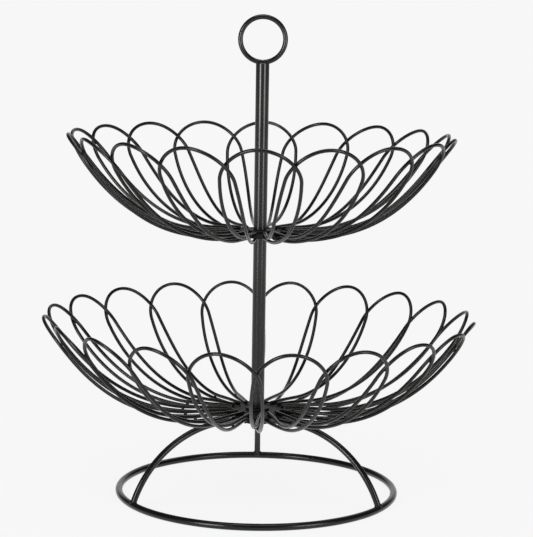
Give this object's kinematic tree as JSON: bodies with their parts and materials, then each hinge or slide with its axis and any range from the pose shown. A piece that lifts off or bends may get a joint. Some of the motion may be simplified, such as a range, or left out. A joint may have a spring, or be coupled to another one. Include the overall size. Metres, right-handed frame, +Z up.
{
  "type": "tiered wire basket",
  "caption": "Two-tier round wire fruit basket in satin black, with bowls of overlapping petal loops on a central post, a foot ring on arched legs and a ring handle.",
  "frame": {"origin": "on the ground under the post, at the centre of the foot ring", "axes": "+Z up along the post, -Y to the front with two legs to the front corners, +X to the right"},
  "size_m": [0.3086, 0.3086, 0.3455],
  "materials": {
    "black_wire": "satin black coat on thin round wire",
    "black_bar": "satin black coat on bent round bar",
    "black_tube": "satin black coat on straight tube",
    "black_plate": "satin black coat on hub, discs and washers",
    "zinc_steel": "bright zinc on threads and plugs"
  },
  "bodies": {
    "base": {"foot_ring": "black_bar", "leg_rear": "black_bar", "leg_front_left": "black_bar", "leg_front_right": "black_bar", "base_hub": "black_plate", "base_stud": "zinc_steel"},
    "lower_bowl": {"lower_hub": "black_plate", "lower_petal_01": "black_wire", "lower_petal_02": "black_wire", "lower_petal_03": "black_wire", "lower_petal_04": "black_wire", "lower_petal_05": "black_wire", "lower_petal_06": "black_wire", "lower_petal_07": "black_wire", "lower_petal_08": "black_wire", "lower_petal_09": "black_wire", "lower_petal_10": "black_wire", "lower_petal_11": "black_wire", "lower_petal_12": "black_wire", "lower_petal_13": "black_wire", "lower_petal_14": "black_wire", "lower_petal_15": "black_wire", "lower_petal_16": "black_wire", "lower_petal_17": "black_wire", "lower_petal_18": "black_wire", "lower_petal_19": "black_wire", "lower_petal_20": "black_wire"},
    "lower_washer": {"lower_washer": "black_plate"},
    "post": {"post_tube": "black_tube", "post_nut": "zinc_steel", "post_stud": "zinc_steel"},
    "upper_bowl": {"upper_hub": "black_plate", "upper_petal_01": "black_wire", "upper_petal_02": "black_wire", "upper_petal_03": "black_wire", "upper_petal_04": "black_wire", "upper_petal_05": "black_wire", "upper_petal_06": "black_wire", "upper_petal_07": "black_wire", "upper_petal_08": "black_wire", "upper_petal_09": "black_wire", "upper_petal_10": "black_wire", "upper_petal_11": "black_wire", "upper_petal_12": "black_wire", "upper_petal_13": "black_wire", "upper_petal_14": "black_wire", "upper_petal_15": "black_wire", "upper_petal_16": "black_wire", "upper_petal_17": "black_wire", "upper_petal_18": "black_wire"},
    "upper_washer": {"upper_washer": "black_plate"},
    "handle": {"stem_tube": "black_tube", "stem_nut": "zinc_steel", "stem_plug": "black_tube", "handle_ring": "black_bar"}
  },
  "joints": [
    {"name": "lower_bowl_turn", "type": "hinge", "parent": "base", "child": "lower_bowl", "pos_m": [0, 0, 0.0607], "axis": [0, 0, 1], "continuous": true},
    {"name": "post_unscrew", "type": "hinge", "parent": "base", "child": "lower_washer", "pos_m": [0, 0, 0.0625], "axis": [0, 0, 1], "range_deg": [0, 3600]},
    {"name": "post_lift", "type": "slide", "parent": "lower_washer", "child": "post", "axis": [0, 0, 1], "range_m": [0, 0.008]},
    {"name": "upper_bowl_turn", "type": "hinge", "parent": "post", "child": "upper_bowl", "pos_m": [0, 0, 0.19045], "axis": [0, 0, 1], "continuous": true},
    {"name": "handle_unscrew", "type": "hinge", "parent": "post", "child": "upper_washer", "pos_m": [0, 0, 0.192], "axis": [0, 0, 1], "range_deg": [0, 3600]},
    {"name": "handle_lift", "type": "slide", "parent": "upper_washer", "child": "handle", "axis": [0, 0, 1], "range_m": [0, 0.008]}
  ],
  "couplings": [
    {"joint": "post_unscrew", "follows": "post_lift", "rad_per_m": 7854},
    {"joint": "handle_unscrew", "follows": "handle_lift", "rad_per_m": 7854}
  ]
}
